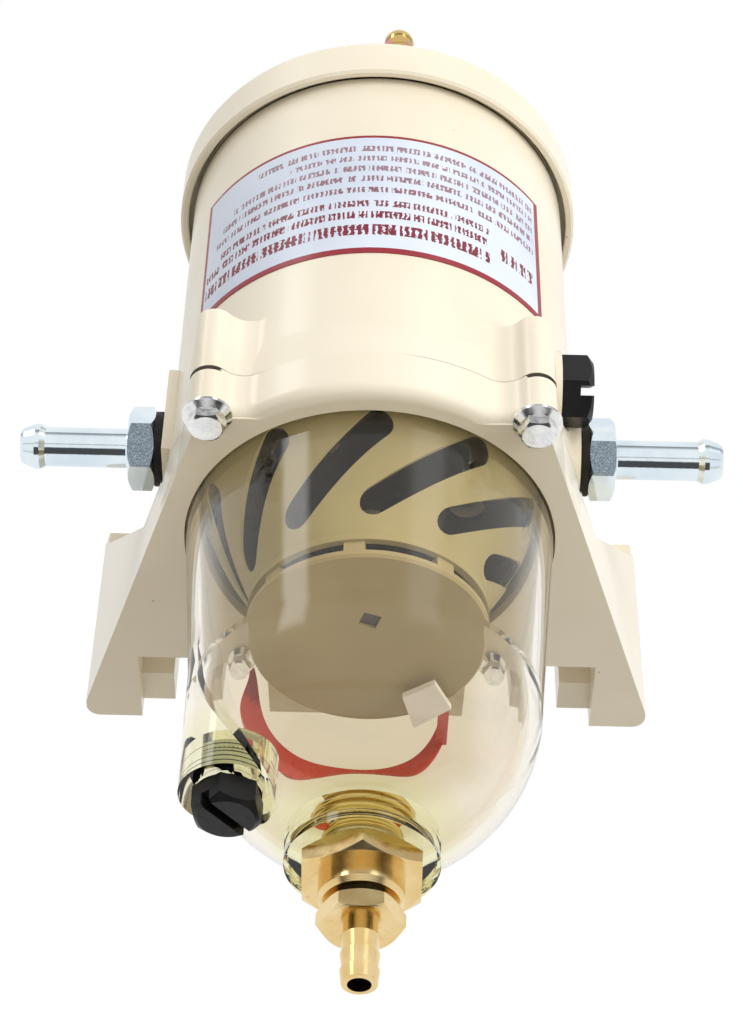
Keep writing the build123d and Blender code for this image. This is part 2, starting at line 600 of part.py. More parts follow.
def element_media():
    """Folded paper: one zigzag wall between the two caps."""
    half = pi / PLEAT_COUNT
    outer = []
    for i in range(PLEAT_COUNT):
        for radius, turn in ((MEDIA_OUT_R, 2 * half * i), (MEDIA_VALLEY_R, 2 * half * i + half)):
            outer.append((radius * cos(turn), radius * sin(turn)))
    low = ELEMENT_LOW_Z + CAP_T
    height = ELEMENT_TOP_Z - ELEMENT_LOW_Z - 2 * CAP_T
    star = extrude(Pos(0, 0, low) * make_face(Polyline(*outer, close=True)), height)
    return star - rod(MEDIA_IN_R, low - 1, low + height + 1)


def element_grommets():
    rings = []
    for low in (ELEMENT_LOW_Z, ELEMENT_TOP_Z - CAP_T):
        rings.append(tube(GROMMET_R, TUBE_R + CLEAR, low, low + CAP_T))
    return Compound(children=rings)


def lid():
    skirt_r = LID_R - LID_SKIRT_T
    shoulder = (LID_R - LID_SHOULDER_IN, LID_SHOULDER_Z + LID_SHOULDER_H)
    boss_foot = (LID_BOSS_R + LID_BOSS_FOOT, LID_DOME_Z)
    seat = (BODY_BORE_R, LID_UNDER_Z + LID_UNDER_H)
    bore = (STUD_R + CLEAR, LID_DOME_Z - LID_T)
    wall = Polyline((skirt_r, LID_LOW_Z + LID_EDGE / 2), (skirt_r + LID_EDGE / 2, LID_LOW_Z),
                    (LID_R - LID_EDGE, LID_LOW_Z), (LID_R, LID_LOW_Z + LID_EDGE), (LID_R, LID_SHOULDER_Z))
    corner = RadiusArc((LID_R, LID_SHOULDER_Z), shoulder, -LID_SHOULDER_ROUND)
    dome = bowed(shoulder, boss_foot, LID_DOME_RISE)
    boss = Polyline(boss_foot, (LID_BOSS_R, LID_DOME_Z + LID_BOSS_FOOT), (LID_BOSS_R, LID_BOSS_TOP_Z - LID_EDGE),
                    (LID_BOSS_R - LID_EDGE, LID_BOSS_TOP_Z), (STUD_R + CLEAR, LID_BOSS_TOP_Z), bore)
    under = bowed(bore, seat, LID_UNDER_RISE)
    rim = Polyline(seat, (BODY_BORE_R, LID_UNDER_Z), (skirt_r, LID_UNDER_Z), (skirt_r, LID_LOW_Z + LID_EDGE / 2))
    return revolve(Plane.XZ * make_face([wall, corner, dome, boss, under, rim]), Axis.Z, 360)


def lid_gasket():
    return tube(BODY_R - GAP, BODY_BORE_R + GAP, BODY_TOP_Z, LID_UNDER_Z)


def t_handle():
    hub_low = LID_BOSS_TOP_Z + HANDLE_SEAL_T
    hub_high = hub_low + HANDLE_HUB_T
    handle = rod(STUD_R, STUD_LOW_Z, hub_low)
    handle += turned([(0, hub_low), (HANDLE_HUB_R, hub_low), (HANDLE_HUB_R, hub_high - 1.5),
                      (HANDLE_STEM_R, hub_high), (HANDLE_STEM_R, HANDLE_BAR_Z - 1), (0, HANDLE_BAR_Z - 1)])
    handle += Pos(0, 0, HANDLE_BAR_Z) * Sphere(HANDLE_STEM_R)
    bar = Rot(90, 0, 0) * Cylinder(HANDLE_BAR_R, 2 * HANDLE_HALF_L)
    for end in (-1, 1):
        bar += Pos(0, end * HANDLE_HALF_L, 0) * Sphere(HANDLE_BALL_R)
    return handle + Pos(0, 0, HANDLE_BAR_Z) * Rot(0, 0, HANDLE_TURN) * bar


def t_handle_seal():
    return tube(HANDLE_HUB_R, STUD_R + CLEAR, LID_BOSS_TOP_Z, LID_BOSS_TOP_Z + HANDLE_SEAL_T)


def bowl_gasket():
    return tube(BOWL_FLANGE_R, BOWL_R - 1.0, BOWL_FLANGE_TOP_Z, BODY_SEAM_Z)


def hose_fitting(turn):
    """A hose fitting along +X from the port face, with its hexagon turned about its axis."""
    hex_low = PORT_FACE_X + WASHER_T
    hex_high = hex_low + FITTING_HEX_T
    tip = hex_high + FITTING_TUBE_L
    bead = tip - FITTING_BEAD_BACK
    fitting = rod(PORT_THREAD_R, PORT_FACE_X - 7, hex_low)
    fitting += hexagon(FITTING_HEX_AF, hex_low, hex_high, turn)
    fitting += turned([(0, hex_high), (FITTING_TUBE_R + 0.4, hex_high), (FITTING_TUBE_R, hex_high + 0.8),
                       (FITTING_TUBE_R, bead - 1.4), (FITTING_BEAD_R, bead),
                       (FITTING_BEAD_R, bead + FITTING_BEAD_L),
                       (FITTING_TUBE_R - 0.3, tip - 0.8), (FITTING_TUBE_R - 0.9, tip), (0, tip)])
    fitting -= rod(FITTING_BORE_R, PORT_FACE_X - 8, tip + 1)
    return x_port(fitting)


def inlet_fitting():
    return mirror(hose_fitting(INLET_HEX_TURN), Plane.YZ)


def outlet_fitting():
    return hose_fitting(OUTLET_HEX_TURN)


def port_washers():
    ring = x_port(tube(WASHER_R, PORT_THREAD_R + CLEAR, PORT_FACE_X, PORT_FACE_X + WASHER_T))
    return Compound(children=[ring, mirror(ring, Plane.YZ)])


def plug(af, head_t, thread_r, thread_l, hex_turn, slot_turn):
    """A slotted hexagon plug along +Z, its head's underside at z = 0."""
    corner = af / sqrt(3)
    face_r = af / 2 - 0.8
    head = hexagon(af, 0, head_t, hex_turn, False)
    head &= turned([(0, 0), (corner, 0), (corner, head_t - 1.6), (face_r, head_t), (0, head_t)])
    head -= Pos(0, 0, head_t) * Rot(0, 0, slot_turn) * Box(4 * corner, PLUG_SLOT_W, 2 * PLUG_SLOT_D)
    return head + rod(thread_r, -thread_l, 0)


def port_plug():
    return side_port(plug(SIDE_PLUG_AF, SIDE_PLUG_HEAD_T, SIDE_PLUG_THREAD_R, SIDE_PLUG_THREAD_L, 0,
                          SIDE_PLUG_SLOT_TURN))


def port_plug_seal():
    seal_r = SIDE_PLUG_THREAD_R + PLUG_SEAL_W - CLEAR
    return side_port(tube(seal_r, SIDE_PLUG_THREAD_R + CLEAR, -PLUG_SEAL_T, 0))


def sensor_plug():
    return sensor_port(plug(SENSOR_AF, SENSOR_HEAD_T, SENSOR_THREAD_R, SENSOR_THREAD_L, -SENSOR_HEX_TURN,
                            -SENSOR_SLOT_TURN))


def sensor_plug_seal():
    seal_r = SENSOR_THREAD_R + PLUG_SEAL_W - CLEAR
    return sensor_port(tube(seal_r, SENSOR_THREAD_R + CLEAR, -PLUG_SEAL_T, 0))


def drain_bushing():
    hex_low = DRAIN_BOSS_END_Z - BUSHING_HEX_T
    bushing = rod(DRAIN_THREAD_R, hex_low, DRAIN_BOSS_END_Z + BUSHING_THREAD_L)
    bushing += hexagon(BUSHING_HEX_AF, hex_low, DRAIN_BOSS_END_Z, 90)
    bushing += turned([(0, hex_low), (BUSHING_COLLAR_R, hex_low), (BUSHING_COLLAR_R, VALVE_COLLAR_Z + 1.2),
                       (BUSHING_COLLAR_R - 0.9, VALVE_COLLAR_Z), (0, VALVE_COLLAR_Z)])
    bushing -= rod(VALVE_STEM_R + CLEAR, VALVE_COLLAR_Z - 1, DRAIN_BOSS_END_Z + BUSHING_THREAD_L + 1)
    return bushing


def drain_valve():
    """The turning stem, with its small hexagon and hose barb."""
    stem = rod(VALVE_STEM_R, VALVE_HEX_Z, DRAIN_BOSS_END_Z + BUSHING_THREAD_L - 1)
    stem += hexagon(VALVE_HEX_AF, VALVE_HEX_Z, VALVE_HEX_Z + VALVE_HEX_T, 60)
    points = [(0, VALVE_HEX_Z), (BARB_ROOT_R, VALVE_HEX_Z)]
    for i in range(BARB_COUNT):
        low = VALVE_END_Z + BARB_PITCH * (BARB_COUNT - 1 - i)
        points += [(BARB_ROOT_R, low + BARB_PITCH - 0.5), (BARB_R, low + BARB_PITCH - 0.8)]
        points.append((BARB_ROOT_R + 0.1, low + 0.2))
    points += [(BARB_ROOT_R - 0.3, VALVE_END_Z), (0, VALVE_END_Z)]
    stem += turned(points)
    stem -= rod(VALVE_BORE_R, VALVE_END_Z - 1, DRAIN_BOSS_END_Z + 2)
    return stem


def drain_seal():
    """The valve's sealing ring, on its neck under the bushing."""
    low = VALVE_HEX_Z + VALVE_HEX_T + 0.2
    return tube(VALVE_STEM_R + 1.9, VALVE_STEM_R + CLEAR, low, VALVE_COLLAR_Z)


def label_plate():
    low_r = BODY_R + 0.02
    sheet = tube(low_r + LABEL_T, low_r, LABEL_LOW_Z, LABEL_HIGH_Z)
    reach = 2 * BODY_R
    half = radians(LABEL_HALF_ANGLE)
    wedge = plan([(0, 0), (-reach * sin(half), -reach * cos(half)), (0, -reach),
                  (reach * sin(half), -reach * cos(half))], LABEL_LOW_Z - 1, LABEL_HIGH_Z + 1)
    return Rot(0, 0, LABEL_CENTRE) * (sheet & wedge)


def red_band():
    """The strip bent along the rear of the bowl, with its free end reaching forwards."""
    edges = [Spline(*BAND_UPPER), Line(BAND_UPPER[-1], BAND_LOWER[0]), Spline(*BAND_LOWER),
             Line(BAND_LOWER[-1], BAND_UPPER[0])]
    outline = extrude(Plane.XZ * make_face(edges), -BOWL_R)
    shrink = BOWL_WALL + BAND_GAP
    shell = bowl_solid(shrink, 0) - bowl_solid(shrink + BAND_T, 1)
    strip = outline & shell
    half_w = BAND_ARM_W / 2
    half_t = BAND_T / 2
    arm = block(BAND_ARM_X - half_w, BAND_ARM_X + half_w, BAND_ARM_FRONT_Y, BAND_ARM_BACK_Y,
                BAND_ARM_Z - half_t, BAND_ARM_Z + half_t)
    return strip + arm - band_clip()


def band_clip():
    return plan(CLIP_CORNERS, BAND_ARM_Z - CLIP_T / 2, BAND_ARM_Z + CLIP_T / 2)


NODES = {
    "body_casting": body_casting,
    "ring_bracket": ring_bracket,
    "flange_bolts": flange_bolts,
    "clear_bowl": clear_bowl,
    "bowl_gasket": bowl_gasket,
    "turbine_bell": turbine_bell,
    "turbine_disc": turbine_disc,
    "check_ball": check_ball,
    "return_tube": return_tube,
    "element_media": element_media,
    "element_top_cap": element_top_cap,
    "element_bottom_cap": lambda: element_cap(ELEMENT_LOW_Z, ELEMENT_LOW_Z + CAP_T),
    "element_grommets": element_grommets,
    "bail_handle": bail_handle,
    "lid": lid,
    "lid_gasket": lid_gasket,
    "t_handle": t_handle,
    "t_handle_seal": t_handle_seal,
    "inlet_fitting": inlet_fitting,
    "outlet_fitting": outlet_fitting,
    "port_washers": port_washers,
    "port_plug": port_plug,
    "port_plug_seal": port_plug_seal,
    "sensor_plug": sensor_plug,
    "sensor_plug_seal": sensor_plug_seal,
    "drain_bushing": drain_bushing,
    "drain_valve": drain_valve,
    "drain_seal": drain_seal,
    "label_plate": label_plate,
    "red_band": red_band,
    "band_clip": band_clip,
}

MOUNT_Z = (HOLE_LOW_Z + HOLE_HIGH_Z) / 2
TO_WALL_FRAME = Pos(0, -WALL_Y, -MOUNT_Z)

os.makedirs("parts", exist_ok=True)
for name, make in NODES.items():
    moved = [TO_WALL_FRAME * solid for solid in make().solids()]
    piece = Compound(children=moved) if len(moved) > 1 else moved[0]
    export_step(piece, "parts/" + name + ".step")
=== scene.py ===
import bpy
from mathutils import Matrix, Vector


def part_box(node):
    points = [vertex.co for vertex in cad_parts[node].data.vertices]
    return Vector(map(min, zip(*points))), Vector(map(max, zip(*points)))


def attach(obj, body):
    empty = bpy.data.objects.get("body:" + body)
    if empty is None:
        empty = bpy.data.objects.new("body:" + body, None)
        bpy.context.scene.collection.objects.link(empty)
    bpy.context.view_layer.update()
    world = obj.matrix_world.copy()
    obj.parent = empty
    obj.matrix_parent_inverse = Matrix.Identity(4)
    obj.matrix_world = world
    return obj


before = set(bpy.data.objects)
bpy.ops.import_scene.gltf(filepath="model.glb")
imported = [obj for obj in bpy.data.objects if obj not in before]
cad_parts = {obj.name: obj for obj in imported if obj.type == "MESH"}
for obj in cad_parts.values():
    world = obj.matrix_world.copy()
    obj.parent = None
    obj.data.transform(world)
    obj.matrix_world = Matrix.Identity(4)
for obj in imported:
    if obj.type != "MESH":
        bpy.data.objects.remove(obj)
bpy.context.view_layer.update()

import math

import bpy
from mathutils import Matrix, Vector

MM = 0.001


def middle_of(node):
    """The centre of a piece's box."""
    low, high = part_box(node)
    return Vector([(a + b) / 2 for a, b in zip(low, high)])


AXIS_Y = middle_of("turbine_disc").y                # the filter's own axis
RING_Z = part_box("ring_bracket")[0][2]               # underside of the lower ring
BUSHING_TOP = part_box("drain_bushing")[1][2]         # inside the bowl's lower boss
SENSOR_X, SENSOR_Y = middle_of("sensor_plug_seal")[:2]
SENSOR_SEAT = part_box("sensor_plug_seal")[0][2]      # underside of the sensor plug's seal


def above_ring(height):
    """A height of the frame as millimetres above the ring's underside, which the finishes count from."""
    return (height - RING_Z) / MM


PORT_Z = above_ring(middle_of("outlet_fitting").z)  # axis of the two hose fittings
LABEL_LOW = above_ring(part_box("label_plate")[0][2])
LABEL_HIGH = above_ring(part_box("label_plate")[1][2])
DISC_LOW = above_ring(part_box("turbine_disc")[0][2])
LID_LOW = above_ring(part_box("lid")[0][2])


# Node trees

class Value:
    """A number, colour or direction that changes over a surface, with the usual arithmetic."""

    def __init__(self, nodes, socket):
        self.nodes = nodes
        self.socket = socket

    def maths(self, operation, *others):
        sockets = dict(enumerate((self,) + others))
        return self.nodes.node("ShaderNodeMath", {"operation": operation}, sockets)

    def __add__(self, other):
        return self.maths("ADD", other)

    __radd__ = __add__

    def __sub__(self, other):
        return self.maths("SUBTRACT", other)

    def __rsub__(self, other):
        return self * -1 + other

    def __mul__(self, other):
        return self.maths("MULTIPLY", other)

    __rmul__ = __mul__

    def __truediv__(self, other):
        return self.maths("DIVIDE", other)

    def __pow__(self, other):
        return self.maths("POWER", other)

    def __mod__(self, other):
        return self.maths("FLOORED_MODULO", other)

    def __abs__(self):
        return self.maths("ABSOLUTE")

    def __gt__(self, other):
        return self.maths("GREATER_THAN", other)

    def __lt__(self, other):
        return self.maths("LESS_THAN", other)

    def __and__(self, other):
        return self.maths("MINIMUM", other)

    def __or__(self, other):
        return self.maths("MAXIMUM", other)

    def glide(self, low, high, start=0.0, end=1.0):
        """Runs smoothly from start to end while this value goes from low to high."""
        sockets = dict(enumerate((self, low, high, start, end)))
        return self.nodes.node("ShaderNodeMapRange", {"interpolation_type": "SMOOTHSTEP"}, sockets)


class Nodes:
    """A node tree being written. Each node takes its kind, its settings and its sockets."""

    def __init__(self, tree):
        self.tree = tree

    def node(self, kind, settings=None, sockets=None, output=0):
        made = self.tree.nodes.new(kind)
        for name, value in (settings or {}).items():
            setattr(made, name, value)
        for key, value in (sockets or {}).items():
            self.join(value, made.inputs[key])
        return Value(self, made.outputs[output]) if made.outputs else None

    def join(self, value, socket):
        if isinstance(value, Value):
            self.tree.links.new(value.socket, socket)
        else:
            socket.default_value = value

    def mix(self, first, second, factor):
        """One colour going over into another; a colour is a hex string or an earlier result."""
        sockets = {0: factor, 6: colour(first), 7: colour(second)}
        return self.node("ShaderNodeMix", {"data_type": "RGBA"}, sockets, 2)

    def split(self, vector):
        whole = self.node("ShaderNodeSeparateXYZ", {}, {0: vector})
        return [Value(self, output) for output in whole.socket.node.outputs]

    def light_path(self, question):
        """1 for the rays that the question is true of, such as Is Camera Ray, and 0 for the rest."""
        return self.node("ShaderNodeLightPath", {}, {}, question)


def colour(value):
    """A hex string as linear red, green, blue and alpha; anything else passes through."""
    if not isinstance(value, str):
        return value
    parts = [int(value[i:i + 2], 16) / 255 for i in (1, 3, 5)]
    linear = [c / 12.92 if c <= 0.04045 else ((c + 0.055) / 1.055)**2.4 for c in parts]
    return (*linear, 1.0)


def reach(first, second):
    """Distance from an axis, from the two coordinates across it."""
    return (first * first + second * second)**0.5


class Finish(Nodes):
    """A material being made, on the object's own coordinates."""

    def __init__(self, name):
        self.material = bpy.data.materials.new(name)
        self.material.use_nodes = True
        super().__init__(self.material.node_tree)
        self.shader = self.tree.nodes["Principled BSDF"]
        self.shader_out = Value(self, self.shader.outputs[0])
        self.place = self.node("ShaderNodeTexCoord", {}, {}, "Object")

    def xyz(self):
        """Millimetres from the filter's axis and from the ring's underside."""
        x, y, z = self.split(self.place)
        return x / MM, (y - AXIS_Y) / MM, (z - RING_Z) / MM

    def noise(self, scale, detail=2.0, rough=0.5):
        sockets = {"Vector": self.place, "Scale": scale, "Detail": detail, "Roughness": rough}
        return self.node("ShaderNodeTexNoise", {}, sockets)

    def specks(self, scale, size, share):
        """Small round marks, one in a share of a pattern's cells."""
        sockets = {"Vector": self.place, "Scale": scale}
        near = self.node("ShaderNodeTexVoronoi", {}, sockets, "Distance")
        tone = self.node("ShaderNodeTexVoronoi", {}, sockets, "Color")
        return near.glide(size, size * 0.6) & (self.split(tone)[0] > 1 - share)

    def set(self, **values):
        for name, value in values.items():
            self.join(colour(value), self.shader.inputs[name.replace("_", " ")])

    def show(self, shown):
        """Takes another shader than the plain one as what the surface shows."""
        self.join(shown, self.tree.nodes["Material Output"].inputs["Surface"])

    def bump(self, height, strength=0.2, distance=0.0002):
        sockets = {"Strength": strength, "Distance": distance, "Height": height}
        self.join(self.node("ShaderNodeBump", {}, sockets), self.shader.inputs["Normal"])


# Paint

JOINT_Z = 13.0              # where the two castings meet
JOINT_HALF = 0.14           # half the height of the dark line there
JOINT_LEFT = (-22, -30)     # where that line comes in, left and right of the axis
JOINT_RIGHT = (4, 14)
LID_LINE_Z = LID_LOW + 1.95
LID_LINE_HALF = 0.4
# The body's floor over the turbine is painted near black as shade up to this height and within this
# radius
BODY_FLOOR_Z = 13.4         # up to here the body's floor hangs over the turbine
BODY_FLOOR_R = 45.4
PAINT_COAT = 0.35


def cream_paint(name, painted_shade=None, lid_line=False):
    """Glossy powder coat with a faint skin, soft clouding and a few dust specks."""
    finish = Finish(name)
    cloud = finish.noise(20, 3)
    skin = finish.noise(1100)
    swell = finish.noise(260)
    base = finish.mix("#EBE2CE", "#E5DBC5", cloud.glide(0.35, 0.7))
    base = finish.mix(base, "#8A7B62", finish.specks(150, 0.07, 0.14) * 0.5)
    x, y, z = finish.xyz()
    along = x.glide(*JOINT_LEFT) | x.glide(*JOINT_RIGHT)
    joint = (abs(z - JOINT_Z) < JOINT_HALF) & (y < 0) & along
    base = finish.mix(base, "#2E271E", joint * 0.9)
    if lid_line:
        base = finish.mix(base, "#29231A", abs(z - LID_LINE_Z) < LID_LINE_HALF)
    rough = cloud.glide(0.3, 0.7, 0.3, 0.4)
    coat = PAINT_COAT
    # Where the given mask holds, the paint is painted near black as shade, and is rougher and without its
    # coat
    if painted_shade:
        unlit = painted_shade(finish)
        base = finish.mix(base, "#0B0A08", unlit)
        rough = rough + unlit * 0.4
        coat = PAINT_COAT - unlit * PAINT_COAT
    finish.set(Base_Color=base, Roughness=rough, Coat_Weight=coat, Coat_Roughness=0.12)
    finish.bump(skin * 0.5 + swell, 0.08, 0.0003)
    return finish.material


def floor_painted_shade(finish):
    """The body's floor over the turbine, painted near black as shade, since it only shows between the
    slots.
    """
    x, y, z = finish.xyz()
    return (z < BODY_FLOOR_Z) & (reach(x, y) < BODY_FLOOR_R)


# Metals

GRAINED_LEAN = math.radians(40)     # how far the fittings' grained faces are turned from upright
GRAINED_FACE = 8.95                 # these faces lie further than this from the fittings' axis


def blue_plate():
    """The hose fittings' zinc: a blue cast, fine drawing lines and a coarser grain on the hexagon's
    front face and the one across from it."""
    finish = Finish("blue_zinc")
    cloud = finish.noise(90, 3)
    fine = finish.noise(900, 3, 0.6)
    grain = finish.noise(2600, 4, 0.7)
    x, y, z = finish.xyz()
    across = y * math.cos(GRAINED_LEAN) + (z - PORT_Z) * math.sin(GRAINED_LEAN)
    face = abs(across) > GRAINED_FACE
    base = finish.mix("#D3E1EB", "#E6F0F5", cloud.glide(0.3, 0.7))
    base = finish.mix(base, "#7E8D98", face * grain.glide(0.36, 0.56, 0.55, 1.0))
    shine = fine.glide(0.3, 0.7, 0.06, 0.13) + face * grain.glide(0.35, 0.7, 0.06, 0.26)
    finish.set(Base_Color=base, Metallic=1.0, Roughness=shine)
    finish.bump(fine * 0.4 + face * grain * 1.4, 0.1, 0.0002)
    return finish.material


def bright_steel(name):
    """The bolts: polished zinc with small smudges."""
    finish = Finish(name)
    smudge = finish.noise(420, 3, 0.6)
    finish.set(Base_Color=finish.mix("#D9DADA", "#F0F0EE", smudge.glide(0.3, 0.7)), Metallic=1.0,
               Roughness=smudge.glide(0.35, 0.7, 0.08, 0.2))
    finish.bump(finish.noise(1300), 0.05, 0.0001)
    return finish.material


def brass(name):
    """Turned brass, a little warmer and duller in patches, with fine lathe rings."""
    finish = Finish(name)
    height = finish.xyz()[2]
    cloud = finish.noise(120, 3)
    rings = (height * 22).maths("SINE")
    base = finish.mix("#E2C385", "#EFD7A3", cloud.glide(0.3, 0.7))
    base = finish.mix(base, "#B9924F", finish.noise(500, 3, 0.6).glide(0.6, 0.74) * 0.3)
    finish.set(Base_Color=base, Metallic=1.0, Roughness=cloud.glide(0.3, 0.75, 0.13, 0.26))
    finish.bump(rings * 0.25 + finish.noise(900, 3), 0.06, 0.0001)
    return finish.material


def yellow_zinc(name):
    """Passivated zinc: straw yellow that goes over into pink and green."""
    finish = Finish(name)
    tint = finish.noise(150)
    base = finish.mix("#D2B36E", "#D59A8C", tint.glide(0.42, 0.58))
    base = finish.mix(base, "#A8B58A", finish.noise(230).glide(0.56, 0.7) * 0.7)
    finish.set(Base_Color=base, Metallic=1.0, Roughness=tint.glide(0.3, 0.7, 0.1, 0.2))
    finish.bump(finish.noise(900), 0.04, 0.0001)
    return finish.material


def plain_metal(name, dark, light, rough):
    """Sheet, tube and wire with a soft unevenness."""
    finish = Finish(name)
    cloud = finish.noise(70, 3)
    finish.set(Base_Color=finish.mix(dark, light, cloud.glide(0.3, 0.7)), Metallic=1.0,
               Roughness=cloud.glide(0.3, 0.7, *rough))
    finish.bump(finish.noise(700, 3), 0.06, 0.0001)
    return finish.material


# Moulded plastic and rubber

# The bell's inner side is painted near black as shade; these sizes trace its outer wall
BELL_WALL = 0.8
BELL_TOP_R = 41.0
BELL_WAIST_R = 27.1
BELL_RING_R = 38.8          # the bell's radius at the height of the ring's underside
BELL_SPREAD = 0.56          # how much wider it gets for each millimetre up
BELL_RIM_Z = -23.4
MARK_X = 0.5                # middle of the dark square under the disc
MARK_Y = -8
MARK_HALF = 2.2
MARK_TURN = math.radians(20)
MARK_DEPTH = 2.5
PLUG_THREAD_START = 1.5     # from the seal's underside up to the sensor plug's thread


def moulded(name, dark, light, rough=(0.35, 0.5), grain=700, strength=0.06, gloss=0.5, patch=None,
            patch_colour="#0B0A09"):
    """Moulded plastic or rubber with its fine grain, and another colour where the patch is, which some
    pieces use for painted shade or painted light.
    """
    finish = Finish(name)
    cloud = finish.noise(40, 3)
    fine = finish.noise(grain)
    base = finish.mix(dark, light, cloud.glide(0.3, 0.7))
    if patch:
        base = finish.mix(base, patch_colour, patch(finish))
    finish.set(Base_Color=base, Roughness=fine.glide(0.3, 0.7, *rough), Specular_IOR_Level=gloss)
    finish.bump(fine, strength, 0.0001)
    return finish.material


def bell_inside_painted_shade(finish):
    """The inner side of the turbine's bell, painted near black as shade, since the slots show it dark."""
    x, y, z = finish.xyz()
    outer = (z * BELL_SPREAD + BELL_RING_R) & BELL_TOP_R | BELL_WAIST_R
    return (reach(x, y) < outer - BELL_WALL) & (z > BELL_RIM_Z)


def disc_mark(finish):
    """The small dark square on the disc's underside."""
    x, y, z = finish.xyz()
    right = x - MARK_X
    back = y - MARK_Y
    along = abs(right * math.cos(MARK_TURN) + back * math.sin(MARK_TURN))
    across = abs(back * math.cos(MARK_TURN) - right * math.sin(MARK_TURN))
    return (along < MARK_HALF) & (across < MARK_HALF) & (z < DISC_LOW + MARK_DEPTH)


def plug_thread_painted_light(finish):
    """The flanks of the sensor plug's thread, painted pale as light, for how they look lit through the
    clear boss.
    """
    return finish.xyz()[2] > above_ring(SENSOR_SEAT) + PLUG_THREAD_START


# Clear plastic

DRAIN_BOSS_Z = (-84, -88)           # from here down the plastic is as thick as the drain boss
SENSOR_BOSS_Z = (-60, -72)          # and as the sensor boss, within a radius of its own axis
SENSOR_BOSS_R = (11.8, 10.5)
# The rear wall is painted darker as shade in this patch, behind the turbine
REAR_X = (34, 24)                   # the shaded patch of the rear wall
REAR_Y = (6, 22)
REAR_LOW = (-58, -44)
REAR_HIGH = (-4, -14)


def clear_plastic():
    """Clear moulded plastic: nearly colourless walls, straw green where it is thick."""
    finish = Finish("clear_bowl")
    x, y, z = finish.xyz()
    cloud = finish.noise(14)
    wall = finish.mix("#FBF6EB", "#F8F1E1", cloud.glide(0.3, 0.7))
    # Painted shade: a darker patch on the rear wall behind the turbine
    rear = y.glide(*REAR_Y) & z.glide(*REAR_LOW) & z.glide(*REAR_HIGH) & abs(x).glide(*REAR_X)
    wall = finish.mix(wall, "#DDD1B6", rear * 0.75)
    aside = reach(x - SENSOR_X / MM, y - (SENSOR_Y - AXIS_Y) / MM)
    thick = z.glide(*DRAIN_BOSS_Z) | (aside.glide(*SENSOR_BOSS_R) & z.glide(*SENSOR_BOSS_Z))
    finish.set(Base_Color=finish.mix(wall, "#EDEBC0", thick), Roughness=cloud.glide(0.3, 0.7, 0.0, 0.02),
               IOR=1.45, Transmission_Weight=1.0)
    finish.bump(cloud, 0.06, 0.001)
    open_to_light(finish)
    return finish.material


def open_to_light(finish):
    """Lets the lamps through, so that they light what lies inside."""
    way = finish.node("ShaderNodeBsdfTransparent", {}, {"Color": colour("#FDFBF6")})
    shown = finish.shader_out
    for question in ("Is Shadow Ray", "Is Diffuse Ray"):
        shown = finish.node("ShaderNodeMixShader", {}, {0: finish.light_path(question), 1: shown, 2: way})
    finish.show(shown)


# Label

LABEL_R = 51.0
LABEL_TURN = math.radians(2.3)      # how far its middle is turned to the left
LABEL_HALF = math.radians(57.3)     # half its reach round the body
FRAME_LEFT = 1.2                    # widths of the crimson frame
FRAME_RIGHT = 1.7
FRAME_LOW = 1.85
FRAME_HIGH = 0.95

# The rows of print as plain broken bars, with heights over the ring and places round the body from the
# label's middle: height of the middle, bar height, left end, right end, two spacings of the gaps
# between words, and the depth of the ink
FINE_ROWS = [
    (91.2, 2.2, -31, 48, 9.7, 15.9, 0.75),
    (87.2, 2.0, -22, 48, 8.3, 13.3, 0.75),
    (83.1, 2.2, -40, 48, 9.1, 16.1, 0.75),
    (79.0, 2.2, -43, 48, 10.3, 16.7, 0.8),
    (74.5, 2.1, -46, 48, 11.3, 17.1, 0.85),
    (69.0, 2.4, -44, 32, 9.9, 16.3, 0.95),
    (64.6, 2.7, -49, 32, 10.7, 17.3, 1.0),
]
BROAD_ROW = (58.8, 4.0, -49, 32, 14.7, 22.9)
CORNER_ROW = (63.0, 4.4, 34.5, 47.5)
CORNER_STEP = 3.3
CORNER_GAP = 0.8
WORD_GAP = 0.9
FINE_STROKES = (1.178, 1.6, 0.5, 0.56)      # spacing, waver, share that is ink, and where strokes merge
BROAD_STROKES = (1.674, 2.2, 0.6, 0.59)


def label_print():
    """Silver-blue film with a crimson frame and rows of plain crimson bars made of short strokes."""
    finish = Finish("label_print")
    x, y, z = finish.xyz()
    run = (x.maths("ARCTAN2", y * -1) + LABEL_TURN) * LABEL_R
    edge = LABEL_HALF * LABEL_R
    frame_line = ((run > edge - FRAME_RIGHT) | (run < FRAME_LEFT - edge)
                  | (z < LABEL_LOW + FRAME_LOW) | (z > LABEL_HIGH - FRAME_HIGH))
    fray = finish.noise(700)

    def bar(height, thick, left, right):
        return (abs(z - height) < thick / 2) & (run > left) & (run < right)

    def words(height, first, second):
        return ((run + height) % first > WORD_GAP) & ((run + 3 * height) % second > WORD_GAP)

    def strokes(spacing, waver, share, merge):
        return ((run + fray * waver) % spacing / spacing < share) | (fray > merge)

    fine = 0
    for height, thick, left, right, first, second, depth in FINE_ROWS:
        fine = (bar(height, thick, left, right) & words(height, first, second)) * depth | fine
    height, thick, left, right, first, second = BROAD_ROW
    broad = bar(height, thick, left, right) & words(height, first, second)
    left = CORNER_ROW[2]
    corner = bar(*CORNER_ROW) & ((run - left) % CORNER_STEP > CORNER_GAP)
    ink = fine * strokes(*FINE_STROKES) | (broad | corner) * strokes(*BROAD_STROKES)
    film = finish.mix("#C8D1E1", "#D6DEEB", finish.noise(26).glide(0.35, 0.65))
    printed = finish.mix(finish.mix(film, "#740A28", ink), "#8C0F22", frame_line)
    finish.set(Base_Color=printed, Roughness=finish.noise(300).glide(0.3, 0.7, 0.3, 0.4),
               Coat_Weight=0.1, Coat_Roughness=0.1)
    finish.bump(finish.noise(400), 0.04, 0.0001)
    return finish.material


# What each piece is finished with

